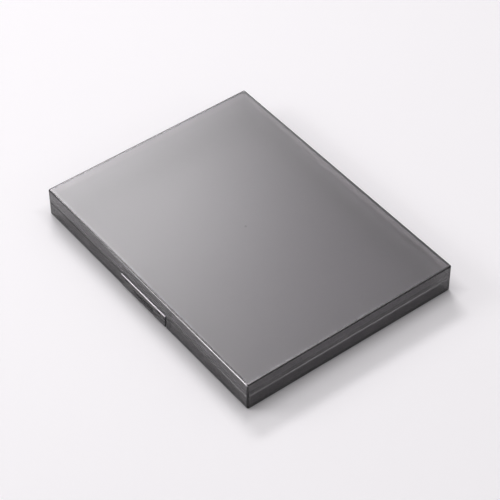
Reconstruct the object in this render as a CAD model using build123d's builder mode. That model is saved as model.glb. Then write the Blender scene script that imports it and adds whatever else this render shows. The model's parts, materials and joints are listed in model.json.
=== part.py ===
from build123d import *
import os

# Slim box for A4 papers: a tray, a lid hinged along the back and a flip latch in front.
# It lies flat and closed. The origin is the centre of the underside, +X runs along the
# long side, the latch faces -Y, the hinges are at +Y and +Z is up. Lengths are millimetres.

# Shells
box_length = 318.0
box_width = 240.0
base_height = 17.0
lid_height = 15.0
corner_radius = 2.0
inner_corner_radius = 1.0
base_wall = 2.4
base_floor = 2.0
lid_wall = 1.8
lid_top = 1.8
lid_edge_radius = 1.4
foot_radius = 1.1
base_seam_chamfer = 0.55
lid_seam_chamfer = 0.2
inner_fillet = 0.8

# Tongue of the base inside the lip of the lid
lid_lip = 1.05
tongue_clearance = 0.25
tongue_height = 4.0
tongue_headroom = 0.4
tongue_lead_in = 0.3

# Hinges at the back
hinge_end_inset = 34.0
hinge_standoff = 1.2
knuckle_radius = 2.2
knuckle_length = 7.0
knuckle_count = 5
knuckle_gap = 0.3
knuckle_relief = 0.25
hinge_pin_radius = 1.0
pin_grip = 0.02
pin_running = 0.06
pin_end_wall = 1.2
pin_end_gap = 0.3
pin_chamfer = 0.2

# Latch and the recess it lies in
latch_width = 70.0
latch_slit = 0.8
latch_proud = 0.9
latch_thickness = 1.5
latch_barrel_radius = 1.75
latch_top_gap = 0.3
latch_table_gap = 2.0
latch_edge_radius = 0.5
recess_depth = 3.4
lug_width = 5.0
lug_spacing = 50.0
lug_thickness = 2.4
lug_side_gap = 0.25
lug_clearance = 0.2
latch_pin_radius = 0.6

# Hook of the latch under the catch of the base
hook_width = 40.0
hook_height = 1.5
hook_top = 5.0
hook_past_pivot = 1.3
catch_bite = 0.8
catch_clearance = 0.1
catch_height = 1.6

# Grip ribs on the latch
rib_length = 30.0
rib_width = 0.9
rib_proud = 0.4
rib_pitch = 1.6
rib_count = 3
rib_middle = 8.0

# Mark left by the moulding gate in the middle of the lid
gate_radius = 1.3
gate_depth = 0.3
gate_stub_radius = 0.45

# Places worked out from the sizes above
front_face = -box_width / 2
rear_face = box_width / 2
seam = base_height
top_face = base_height + lid_height
tongue_inset = lid_lip + tongue_clearance

hinge_y = rear_face + hinge_standoff
hinge_z = seam
knuckle_pitch = knuckle_length + knuckle_gap
hinge_length = knuckle_count * knuckle_pitch - knuckle_gap
hinge_x = box_length / 2 - hinge_end_inset - hinge_length / 2
relief_radius = knuckle_radius + knuckle_relief
hinge_bore_length = hinge_length - pin_end_wall

latch_front = front_face - latch_proud
latch_back = latch_front + latch_thickness
latch_y = latch_front + latch_barrel_radius
latch_z = seam - latch_top_gap - latch_barrel_radius
recess_half = latch_width / 2 + latch_slit
recess_back = front_face + recess_depth
hook_tip = latch_y + hook_past_pivot
catch_tip = hook_tip - catch_bite
catch_bottom = hook_top + catch_clearance
latch_bore_length = latch_width - pin_end_wall


def knuckle_starts(first):
    """X where every second knuckle of both hinges starts, from the given one on."""
    return [
        side * hinge_x - hinge_length / 2 + index * knuckle_pitch
        for side in (-1, 1)
        for index in range(first, knuckle_count, 2)
    ]


def hinge_bore_start(side):
    """X where a hinge's bore starts: it is blind at the end towards the box's corner."""
    blind = pin_end_wall if side < 0 else 0.0
    return side * hinge_x - hinge_length / 2 + blind


def slab(inset, radius):
    """Outline of the box in plan, drawn in from its outer faces."""
    RectangleRounded(box_length - 2 * inset, box_width - 2 * inset, radius)


def cut_recess(inset):
    """Take the latch recess out of a plan outline, grown by the inset on its inner sides."""
    with Locations((0, front_face)):
        Rectangle(
            2 * (recess_half + inset),
            recess_depth + inset,
            align=(Align.CENTER, Align.MIN),
            mode=Mode.SUBTRACT,
        )


def flat_face_at(shell, height):
    """The level face of a shell that lies nearest to the given height."""
    level_faces = shell.faces().filter_by(Axis.Z)
    return level_faces.sort_by(lambda face: abs(face.center().Z - height))[0]


def round_bar(start, length, y, z, radius, mode=Mode.ADD):
    """A round bar or bore along X."""
    with BuildSketch(Plane.YZ.offset(start)) as section:
        with Locations((y, z)):
            Circle(radius)
    extrude(section.sketch, amount=length, mode=mode)


os.makedirs("parts", exist_ok=True)

base_knuckles = knuckle_starts(0)
lid_knuckles = knuckle_starts(1)
lug_starts = [side * lug_spacing / 2 - lug_width / 2 for side in (-1, 1)]

# Base: a tray with a tongue around its mouth, a recess for the latch and outer knuckles
with BuildPart() as base:
    with BuildSketch():
        slab(0, corner_radius)
        cut_recess(0)
    extrude(amount=base_height)
    fillet(base.edges().group_by(Axis.Z)[0], foot_radius)
    chamfer(base.edges().group_by(Axis.Z)[-1], base_seam_chamfer)

    with BuildSketch(Plane.XY.offset(seam)):
        slab(tongue_inset, inner_corner_radius)
        cut_recess(tongue_inset)
    extrude(amount=tongue_height)
    chamfer(base.edges().group_by(Axis.Z)[-1], tongue_lead_in)

    with BuildSketch(Plane.XY.offset(base_floor)):
        slab(base_wall, inner_corner_radius)
        cut_recess(base_wall)
    extrude(amount=seam + tongue_height - base_floor, mode=Mode.SUBTRACT)
    fillet(flat_face_at(base, base_floor).edges(), inner_fillet)

    # Catch: a ledge on the recess wall, flat below and sloping above
    with BuildSketch(Plane.YZ.offset(-hook_width / 2)):
        with BuildLine():
            Polyline(
                (recess_back, catch_bottom),
                (catch_tip, catch_bottom),
                (catch_tip, catch_bottom + catch_height / 2),
                (recess_back, catch_bottom + catch_height / 2 + recess_back - catch_tip),
                close=True,
            )
        make_face()
    extrude(amount=hook_width)

    for start in lid_knuckles:
        round_bar(
            start - knuckle_gap,
            knuckle_length + 2 * knuckle_gap,
            hinge_y,
            hinge_z,
            relief_radius,
            Mode.SUBTRACT,
        )
    for start in base_knuckles:
        with BuildSketch(Plane.YZ.offset(start)):
            with Locations((hinge_y, hinge_z)):
                Circle(knuckle_radius)
            with Locations((hinge_y, hinge_z)):
                Rectangle(2 * hinge_standoff, knuckle_radius, align=(Align.MAX, Align.MAX))
        extrude(amount=knuckle_length)
    for side in (-1, 1):
        round_bar(
            hinge_bore_start(side),
            hinge_bore_length,
            hinge_y,
            hinge_z,
            hinge_pin_radius + pin_grip,
            Mode.SUBTRACT,
        )
base.part.label = "base"
export_step(base.part, "parts/base.step")

# Lid: a shallow cap whose lip goes over the tongue, with inner knuckles and latch lugs
with BuildPart() as lid:
    with BuildSketch(Plane.XY.offset(seam)):
        slab(0, corner_radius)
    extrude(amount=lid_height)
    fillet(lid.edges().group_by(Axis.Z)[-1], lid_edge_radius)
    chamfer(lid.edges().group_by(Axis.Z)[0], lid_seam_chamfer)

    with BuildSketch(Plane.XY.offset(seam)):
        slab(lid_wall, inner_corner_radius)
    extrude(amount=lid_height - lid_top, mode=Mode.SUBTRACT)
    fillet(flat_face_at(lid, top_face - lid_top).edges(), inner_fillet)

    with BuildSketch(Plane.XY.offset(seam)):
        slab(lid_lip, inner_corner_radius)
    extrude(amount=tongue_height + tongue_headroom, mode=Mode.SUBTRACT)

    # Lugs that hang below the lip and carry the latch pin
    for start in lug_starts:
        with BuildSketch(Plane.YZ.offset(start)):
            with Locations((latch_y, latch_z)):
                Circle(latch_barrel_radius)
            with Locations((front_face, latch_z)):
                Rectangle(
                    lug_thickness,
                    seam + tongue_height + lid_wall - latch_z,
                    align=(Align.MIN, Align.MIN),
                )
        extrude(amount=lug_width)
        round_bar(start, lug_width, latch_y, latch_z, latch_pin_radius + pin_grip, Mode.SUBTRACT)

    for start in base_knuckles:
        round_bar(
            start - knuckle_gap,
            knuckle_length + 2 * knuckle_gap,
            hinge_y,
            hinge_z,
            relief_radius,
            Mode.SUBTRACT,
        )
    for start in lid_knuckles:
        with BuildSketch(Plane.YZ.offset(start)):
            with Locations((hinge_y, hinge_z)):
                Circle(knuckle_radius)
            with Locations((hinge_y, hinge_z)):
                Rectangle(2 * hinge_standoff, knuckle_radius, align=(Align.MAX, Align.MIN))
        extrude(amount=knuckle_length)
        round_bar(
            start,
            knuckle_length,
            hinge_y,
            hinge_z,
            hinge_pin_radius + pin_running,
            Mode.SUBTRACT,
        )

    with BuildSketch(Plane.XY.offset(top_face)):
        Circle(gate_radius)
        Circle(gate_stub_radius, mode=Mode.SUBTRACT)
    extrude(amount=-gate_depth, mode=Mode.SUBTRACT)
lid.part.label = "lid"
export_step(lid.part, "parts/lid.step")

# Latch: a plate that hangs from its barrel, with a hook behind and grip ribs in front
with BuildPart() as latch:
    with BuildSketch(Plane.YZ.offset(-latch_width / 2)):
        with Locations((latch_front, latch_table_gap)):
            Rectangle(latch_thickness, latch_z - latch_table_gap, align=(Align.MIN, Align.MIN))
    extrude(amount=latch_width)
    fillet(latch.edges().filter_by(Axis.X).group_by(Axis.Z)[0], latch_edge_radius)
    fillet(latch.edges().filter_by(Axis.Z).group_by(Axis.Y)[0], latch_edge_radius)

    round_bar(-latch_width / 2, latch_width, latch_y, latch_z, latch_barrel_radius)

    with BuildSketch(Plane.YZ.offset(-hook_width / 2)):
        with BuildLine():
            Polyline(
                (latch_back, hook_top),
                (hook_tip, hook_top),
                (hook_tip, hook_top - hook_height / 2),
                (latch_back, hook_top - hook_height / 2 - hook_tip + latch_back),
                close=True,
            )
        make_face()
    extrude(amount=hook_width)

    with BuildSketch(Plane.XZ.offset(-latch_front)):
        for index in range(rib_count):
            with Locations((0, rib_middle + (index - (rib_count - 1) / 2) * rib_pitch)):
                SlotOverall(rib_length, rib_width)
    extrude(amount=rib_proud)

    # Gaps in the barrel for the lugs of the lid
    for start in lug_starts:
        gap_start = start - lug_side_gap
        gap_width = lug_width + 2 * lug_side_gap
        with BuildSketch(Plane.YZ.offset(gap_start)):
            with Locations((latch_front, latch_z - latch_barrel_radius - lug_clearance)):
                Rectangle(
                    2 * latch_barrel_radius,
                    2 * latch_barrel_radius + lug_clearance,
                    align=(Align.MIN, Align.MIN),
                )
        extrude(amount=gap_width, mode=Mode.SUBTRACT)
    round_bar(
        pin_end_wall - latch_width / 2,
        latch_bore_length,
        latch_y,
        latch_z,
        latch_pin_radius + pin_running,
        Mode.SUBTRACT,
    )
latch.part.label = "latch"
export_step(latch.part, "parts/latch.step")

# Pins: one through the latch and the lugs, and one through each hinge
with BuildPart() as latch_pin:
    round_bar(
        pin_end_wall + pin_end_gap - latch_width / 2,
        latch_bore_length - 2 * pin_end_gap,
        latch_y,
        latch_z,
        latch_pin_radius,
    )
    chamfer(latch_pin.edges().filter_by(GeomType.CIRCLE), pin_chamfer)
latch_pin.part.label = "latch_pin"
export_step(latch_pin.part, "parts/latch_pin.step")

for side, name in ((-1, "hinge_pin_left"), (1, "hinge_pin_right")):
    with BuildPart() as hinge_pin:
        round_bar(
            hinge_bore_start(side) + pin_end_gap,
            hinge_bore_length - 2 * pin_end_gap,
            hinge_y,
            hinge_z,
            hinge_pin_radius,
        )
        chamfer(hinge_pin.edges().filter_by(GeomType.CIRCLE), pin_chamfer)
    hinge_pin.part.label = name
    export_step(hinge_pin.part, f"parts/{name}.step")
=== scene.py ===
import bpy
import json
import math
from mathutils import Matrix, Vector


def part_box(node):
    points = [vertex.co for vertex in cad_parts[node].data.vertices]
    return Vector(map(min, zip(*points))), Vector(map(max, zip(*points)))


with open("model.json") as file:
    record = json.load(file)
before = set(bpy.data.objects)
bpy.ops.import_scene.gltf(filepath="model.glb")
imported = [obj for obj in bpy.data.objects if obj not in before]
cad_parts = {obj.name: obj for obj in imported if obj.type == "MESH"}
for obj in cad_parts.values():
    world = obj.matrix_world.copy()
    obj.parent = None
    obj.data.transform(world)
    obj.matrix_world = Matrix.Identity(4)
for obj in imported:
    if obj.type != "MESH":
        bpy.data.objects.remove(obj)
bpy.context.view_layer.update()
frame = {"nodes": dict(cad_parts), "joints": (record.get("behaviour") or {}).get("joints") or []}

# A slim file box of smoky see-through plastic, lying flat and closed on a pale floor.
# The wide plates have a satin face, and the walls are left polished.

scene = bpy.context.scene
MM = 0.001

base_low, base_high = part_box("base")
SPAN = base_high - base_low
MIDDLE = (base_high + base_low) / 2
SEAM = frame["joints"][0]["pos_m"][2]

# Camera, in lengths of the box, turned round the middle of its underside
VIEW_AZIMUTH = math.radians(52.829)
VIEW_ELEVATION = math.radians(45.374)
VIEW_ROLL = math.radians(-0.548)
VIEW_DISTANCE = 5.881
VIEW_RIGHT = 0.01211
VIEW_UP = 0.00107

# Lens: its focal length in pixels of a picture this wide, and the width of the sensor
FOCAL_PIXELS = 1944.9
PICTURE_WIDTH = 500
SENSOR_MM = 36.0

# Studio light with a trace of violet, and the strength of the part that comes from all round
DAYLIGHT = (1.0, 0.985, 1.0)
ALL_ROUND = 0.33

# How much of the light that meets the plastic goes on through it, and how much it is bent
CLEAR = 0.95
BENDING = 1.49

# Share of green in the greys of the plastic, a little low for a faint violet cast
GREEN_SHARE = 0.965

# Dullness of the plastic, from its smoothest patch to its dullest, and what a scuff adds
SATIN = (0.285, 0.31)
POLISH = (0.09, 0.13)
SCUFFED = 0.04
SHEEN_PATCH = 60 * MM

# How much darker the plates are in their smoothest patches
SMOOTH_DARKER = 0.03

# Fine grain of the plates, and thin scuffs that run along the box and across it.
# A scuff shows where its noise is high: from which height, and how much higher it is full.
GRAIN_SIZE = 0.2 * MM
GRAIN_STRENGTH = 0.05
GRAIN_DEPTH = 0.02 * MM
SCUFF_WIDTH = 0.7 * MM
SCUFF_DRAWN_OUT = 0.05
SCUFF_SHOWS = (0.66, 0.06)

# How far a face looks along an axis, from -1 for against it to 1 for straight along it, where
# its finish begins or ends, and over how much more or less it fades.
# A plate looks straight up or down, and a rounded edge looks straight along no axis.
PLATE = (0.985, 0.01)
ROUNDED = (0.985, 0.03)
LOOKS_UP = (0.15, 0.1)
LOOKS_FRONT = (-0.6, 0.06)
LOOKS_RIGHT = (0.55, 0.08)

# Edges and the rim of each plate are mirror-like and let little light through. Their greys are
# painted: dark for a painted shade that outlines the box, pale for painted highlight lines.
MIRROR = 0.9
PAINTED_DARK_EDGE = 0.04
PAINTED_HIGHLIGHT_EDGE = 0.9
PLATE_RIM = 2.4 * MM
RIM_FADE = 0.2 * MM

# Where the painted highlight lines go: along the front and the right end, and on the latch that
# stands proud. Each is the place where the highlight begins or ends, and the way over which it
# fades.
FRONT_HIGHLIGHT = (base_low.y + 5 * MM, 1 * MM)
END_HIGHLIGHT = (base_high.x - 5 * MM, 1 * MM)
PROUD = (base_low.y, 0.2 * MM)

# Half the height of the band along the seam, and the way over which it fades
SEAM_BAND = (1 * MM, 0.5 * MM)

# The painted glint is strong on the front, dulled in its seam, and weak on the right end.
# It also varies a little from one patch to the next.
SEAM_DULLED = 0.85
END_GLINT = 0.12
END_SEAM_GLINT = 0.1
HIGHLIGHT_SPREAD = (0.7, 1.0)
HIGHLIGHT_PATCH = 40 * MM

# Drawn steel: the colours of its dark and bright streaks, their dullness, and their pattern
STEEL_DARK = (0.55, 0.55, 0.57, 1.0)
STEEL_BRIGHT = (0.68, 0.68, 0.7, 1.0)
STEEL_SATIN = (0.22, 0.4)
STREAK_WIDTH = 0.2 * MM
STREAK_DRAWN_OUT = 0.05

# Pale board of the floor, in metres from its middle to its sides and under the box
BOARD_DULL = (0.84, 0.825, 0.84, 1.0)
BOARD_PALE = (0.86, 0.845, 0.86, 1.0)
BOARD_PATCH = 500 * MM
BOARD_MATT = 0.9
FLOOR_REACH = 4.0
FLOOR_DROP = 0.05 * MM

# Its glow grows from nothing at the outline of the box to full over the reach, which paints a
# contact shadow round the box, and from left to right. It is this strong level with the middle
# of the box, and stronger with each metre.
GLOW = (0.13, 0.128, 0.13, 1.0)
PAINTED_SHADOW_REACH = 14 * MM
GLOW_MIDDLE = 0.8
GLOW_PER_METRE = 0.6

BLACK = (0.0, 0.0, 0.0, 1.0)


class Wire:
    """One output of a shader node. Arithmetic on it adds Math nodes to the same tree."""

    def __init__(self, finish, socket):
        self.finish = finish
        self.socket = socket

    def maths(self, operation, *values):
        return self.finish.add("ShaderNodeMath", {"operation": operation}, dict(enumerate(values)))

    def __add__(self, other):
        return self.maths("ADD", self, other)

    __radd__ = __add__

    def __sub__(self, other):
        return self.maths("SUBTRACT", self, other)

    def __rsub__(self, other):
        return self.maths("SUBTRACT", other, self)

    def __mul__(self, other):
        return self.maths("MULTIPLY", self, other)

    __rmul__ = __mul__

    def __truediv__(self, other):
        return self.maths("DIVIDE", self, other)

    def __abs__(self):
        return self.maths("ABSOLUTE", self)

    def largest(self, other):
        return self.maths("MAXIMUM", self, other)

    def clamped(self):
        return self.maths("MINIMUM", self.largest(0.0), 1.0)

    def rising(self, start, width):
        """From 0 up to the start to 1 from one width above it."""
        return ((self - start) / width).clamped()

    def falling(self, end, width):
        """From 1 up to one width below the end to 0 from the end on."""
        return ((end - self) / width).clamped()

    def between(self, low, high):
        """From the low number to the high one as this goes from 0 to 1."""
        return low + (high - low) * self


class Finish:
    """A material in the making: its node tree and one method that adds nodes to it."""

    def __init__(self, name):
        self.material = bpy.data.materials.new(name)
        self.material.use_nodes = True
        self.tree = self.material.node_tree
        self.tree.nodes.clear()

    def add(self, kind, settings=None, values=None, output=0):
        node = self.tree.nodes.new(kind)
        for setting, value in (settings or {}).items():
            setattr(node, setting, value)
        for name, value in (values or {}).items():
            if isinstance(value, Wire):
                self.tree.links.new(value.socket, node.inputs[name])
            else:
                node.inputs[name].default_value = value
        return Wire(self, node.outputs[output]) if node.outputs else None

    def place(self):
        """The place on the object, in metres."""
        return self.add("ShaderNodeTexCoord", output="Object")

    def facing(self):
        """The way the surface looks."""
        return self.add("ShaderNodeTexCoord", output="Normal")

    def along(self, vector, axis):
        """One coordinate of a vector."""
        return self.add("ShaderNodeSeparateXYZ", values={"Vector": vector}, output=axis)

    def stretched(self, where, *scales):
        """The same place with its axes stretched, to draw a pattern out."""
        return self.add(
            "ShaderNodeVectorMath", {"operation": "MULTIPLY"}, {0: where, 1: Vector(scales)}
        )

    def clouds(self, where, size, detail=2.0):
        """Soft noise from 0 to 1 with lumps of about the given size in metres."""
        return self.add(
            "ShaderNodeTexNoise", values={"Vector": where, "Scale": 1 / size, "Detail": detail}
        )

    def blend(self, share, low, high):
        """From one colour to the other as the share goes from 0 to 1."""
        return self.add(
            "ShaderNodeMix", {"data_type": "RGBA"}, {"Factor": share, "A": low, "B": high}, output=2
        )

    def bump(self, height, strength, depth):
        return self.add(
            "ShaderNodeBump", values={"Height": height, "Strength": strength, "Distance": depth}
        )

    def shader(self, **values):
        """The surface shader, with the names of its sockets written as words with underscores."""
        sockets = {name.replace("_", " "): value for name, value in values.items()}
        return self.add("ShaderNodeBsdfPrincipled", values=sockets)

    def surface(self, shader):
        self.add("ShaderNodeOutputMaterial", values={"Surface": shader})
        return self.material

    def body(self, shader, depth):
        """A surface with something inside that dims the light on its way."""
        self.add("ShaderNodeOutputMaterial", values={"Surface": shader, "Volume": depth})
        return self.material


def grey(level):
    """A grey with the faint violet cast of the smoky plastic."""
    return (level, level * GREEN_SHARE, level, 1.0)


def beyond(finish, where, inset):
    """How far a place lies outside the outline of the box drawn in by an inset, in metres."""
    east = abs(finish.along(where, "X") - MIDDLE.x) - (SPAN.x / 2 - inset)
    north = abs(finish.along(where, "Y") - MIDDLE.y) - (SPAN.y / 2 - inset)
    return east.largest(north)


def scuffed(finish, where):
    """Thin straight scuffs, along the box and across it."""
    draw = SCUFF_DRAWN_OUT
    lengthwise = finish.clouds(finish.stretched(where, draw, 1, 1), SCUFF_WIDTH)
    crosswise = finish.clouds(finish.stretched(where, 1, draw, 1), SCUFF_WIDTH)
    return lengthwise.largest(crosswise).rising(*SCUFF_SHOWS)


def painted_edge_highlight(finish, where, east, north, up):
    """Painted highlight on the edges: most along the front, growing from left to right."""
    x, y, z = (finish.along(where, axis) for axis in "XYZ")
    proud = y.falling(*PROUD)
    seam = abs(z - SEAM).falling(*SEAM_BAND)
    highlight_ramp = ((x - base_low.x) / SPAN.x).largest(proud)
    front = y.falling(*FRONT_HIGHLIGHT) * north.falling(*LOOKS_FRONT)
    front_glint = front * (1 - SEAM_DULLED * seam * (1 - proud)) * highlight_ramp
    end_turn = END_GLINT * east.falling(*LOOKS_RIGHT)
    end_glint = x.rising(*END_HIGHLIGHT) * end_turn.largest(END_SEAM_GLINT * seam)
    highlight_patches = finish.clouds(where, HIGHLIGHT_PATCH).between(*HIGHLIGHT_SPREAD)
    return up.rising(*LOOKS_UP) * highlight_patches * front_glint.largest(end_glint)


def smoky_plastic(name, plate_tone, shaded_wall_tone, smoke):
    """Smoky plastic that dims the light the more, the longer its way inside."""
    finish = Finish(name)
    where = finish.place()
    facing = finish.facing()
    east, north, up = (finish.along(facing, axis) for axis in "XYZ")
    squareness = abs(east).largest(abs(north)).largest(abs(up))
    plate = abs(up).rising(*PLATE)
    rim = beyond(finish, where, PLATE_RIM).rising(0, RIM_FADE)
    edge = squareness.falling(*ROUNDED).largest(rim * plate)
    # Painted highlight lines along the edges of the front, the latch and the right end
    painted_highlight = edge * painted_edge_highlight(finish, where, east, north, up)

    sheen = finish.clouds(where, SHEEN_PATCH)
    scuffs = scuffed(finish, where)
    polished = sheen.between(*POLISH)
    satin = sheen.between(*SATIN) + SCUFFED * scuffs
    grain = finish.clouds(where, GRAIN_SIZE) + scuffs

    plate_colour = finish.blend(sheen, grey(plate_tone - SMOOTH_DARKER), grey(plate_tone))
    # Painted shade: the walls take a darker grey than the plates, so the sides of the box look
    # shaded
    tone = finish.blend(plate, grey(shaded_wall_tone), plate_colour)
    # Painted shade: the rounded edges and the rim of each plate turn a dark grey, drawing dark
    # outlines
    tone = finish.blend(edge, tone, grey(PAINTED_DARK_EDGE))
    # Painted highlight: where the edge highlight is set, the edge turns a pale grey
    tone = finish.blend(painted_highlight, tone, grey(PAINTED_HIGHLIGHT_EDGE))
    # The edges are mirror-like metal, so their painted greys show as dark outlines and bright lines
    shader = finish.shader(
        Base_Color=tone,
        Roughness=polished + (satin - polished) * plate,
        Metallic=MIRROR * edge,
        IOR=BENDING,
        Transmission_Weight=CLEAR,
        Normal=finish.bump(grain, GRAIN_STRENGTH * plate, GRAIN_DEPTH),
    )
    depth = finish.add("ShaderNodeVolumeAbsorption", values={"Color": BLACK, "Density": smoke})
    return finish.body(shader, depth)


def drawn_steel():
    """Steel wire with fine streaks along its length."""
    finish = Finish("drawn_steel")
    along_wire = finish.stretched(finish.place(), STREAK_DRAWN_OUT, 1, 1)
    streaks = finish.clouds(along_wire, STREAK_WIDTH)
    shader = finish.shader(
        Base_Color=finish.blend(streaks, STEEL_DARK, STEEL_BRIGHT),
        Metallic=1.0,
        Roughness=streaks.between(*STEEL_SATIN),
    )
    return finish.surface(shader)


def dress(node, material):
    piece = frame["nodes"][node]
    piece.data.materials.clear()
    piece.data.materials.append(material)


def dress_box():
    # The darker greys of the walls are painted shade on the sides of the box
    dress("base", smoky_plastic("base_smoke", plate_tone=0.98, shaded_wall_tone=0.4, smoke=320))
    dress("lid", smoky_plastic("lid_smoke", plate_tone=0.98, shaded_wall_tone=0.4, smoke=150))
    dress("latch", smoky_plastic("latch_smoke", plate_tone=0.5, shaded_wall_tone=0.45, smoke=300))
    steel = drawn_steel()
    for pin in ("latch_pin", "hinge_pin_left", "hinge_pin_right"):
        dress(pin, steel)


def pale_board():
    """Matt pale board. Where the eye meets it, it also glows a little, like a lit backdrop, but
    less near the box: a painted shadow.
    """
    finish = Finish("pale_floor")
    where = finish.place()
    mottle = finish.clouds(where, BOARD_PATCH, detail=1.0)
    direct, glossy, through = (
        finish.add("ShaderNodeLightPath", output=ray)
        for ray in ("Is Camera Ray", "Is Glossy Ray", "Is Transmission Ray")
    )
    seen = (direct + glossy + through).clamped()
    # Painted shadow: the glow is missing at the box and comes up over a short reach, like a contact
    # shadow
    clear_of_painted_shadow = beyond(finish, where, 0).rising(0, PAINTED_SHADOW_REACH)
    from_left = (GLOW_MIDDLE + GLOW_PER_METRE * finish.along(where, "X")).clamped()
    shader = finish.shader(
        Base_Color=finish.blend(mottle, BOARD_DULL, BOARD_PALE),
        Roughness=BOARD_MATT,
        Emission_Color=finish.blend(seen * (clear_of_painted_shadow * from_left), BLACK, GLOW),
        Emission_Strength=1.0,
    )
    return finish.surface(shader)


def lay_floor():
    mesh = bpy.data.meshes.new("floor")
    reach = FLOOR_REACH
    corners = [(-reach, -reach, 0), (reach, -reach, 0), (reach, reach, 0), (-reach, reach, 0)]
    mesh.from_pydata(corners, [], [(0, 1, 2, 3)])
    mesh.materials.append(pale_board())
    floor = bpy.data.objects.new("floor", mesh)
    floor.location.z = -FLOOR_DROP
    scene.collection.objects.link(floor)


def light_from_all_round(strength):
    world = bpy.data.worlds.new("studio")
    world.use_nodes = True
    background = world.node_tree.nodes["Background"]
    background.inputs["Color"].default_value = (*DAYLIGHT, 1)
    background.inputs["Strength"].default_value = strength
    scene.world = world


def soft_light(name, place, width, height, power):
    """A soft box that looks at the middle of the underside, with its power in watts."""
    lamp = bpy.data.lights.new(name, "AREA")
    lamp.shape = "RECTANGLE"
    lamp.size = width
    lamp.size_y = height
    lamp.energy = power
    lamp.color = DAYLIGHT
    light = bpy.data.objects.new(name, lamp)
    light.location = place
    light.rotation_euler = (-Vector(place)).to_track_quat("-Z", "Y").to_euler()
    scene.collection.objects.link(light)


def light_studio():
    light_from_all_round(ALL_ROUND)
    soft_light("window_light", place=(-2.175, 0.85, 2.2), width=1.22, height=0.5, power=36)
    soft_light("ceiling_light", place=(-0.3, 0.1, 1.6), width=1.6, height=1.4, power=9)
    soft_light("front_light", place=(-0.93, -1.1, 0.89), width=0.9, height=0.5, power=7)
    soft_light("back_light", place=(1.12, 0.58, 0.67), width=0.4, height=0.12, power=0.4)


def set_camera():
    back = Vector(
        (
            math.sin(VIEW_AZIMUTH) * math.cos(VIEW_ELEVATION),
            -math.cos(VIEW_AZIMUTH) * math.cos(VIEW_ELEVATION),
            math.sin(VIEW_ELEVATION),
        )
    )
    level = Vector((math.cos(VIEW_AZIMUTH), math.sin(VIEW_AZIMUTH), 0))
    upright = back.cross(level)
    right = math.cos(VIEW_ROLL) * level + math.sin(VIEW_ROLL) * upright
    up = back.cross(right)
    eye = SPAN.x * (VIEW_DISTANCE * back + VIEW_RIGHT * right + VIEW_UP * up)
    lens = bpy.data.cameras.new("camera")
    lens.sensor_width = SENSOR_MM
    lens.lens = FOCAL_PIXELS * SENSOR_MM / PICTURE_WIDTH
    camera = bpy.data.objects.new("camera", lens)
    turn = Matrix((right, up, back)).transposed().to_4x4()
    camera.matrix_world = Matrix.Translation(eye) @ turn
    scene.collection.objects.link(camera)
    scene.camera = camera


dress_box()
lay_floor()
light_studio()
set_camera()
scene.view_settings.view_transform = "Standard"
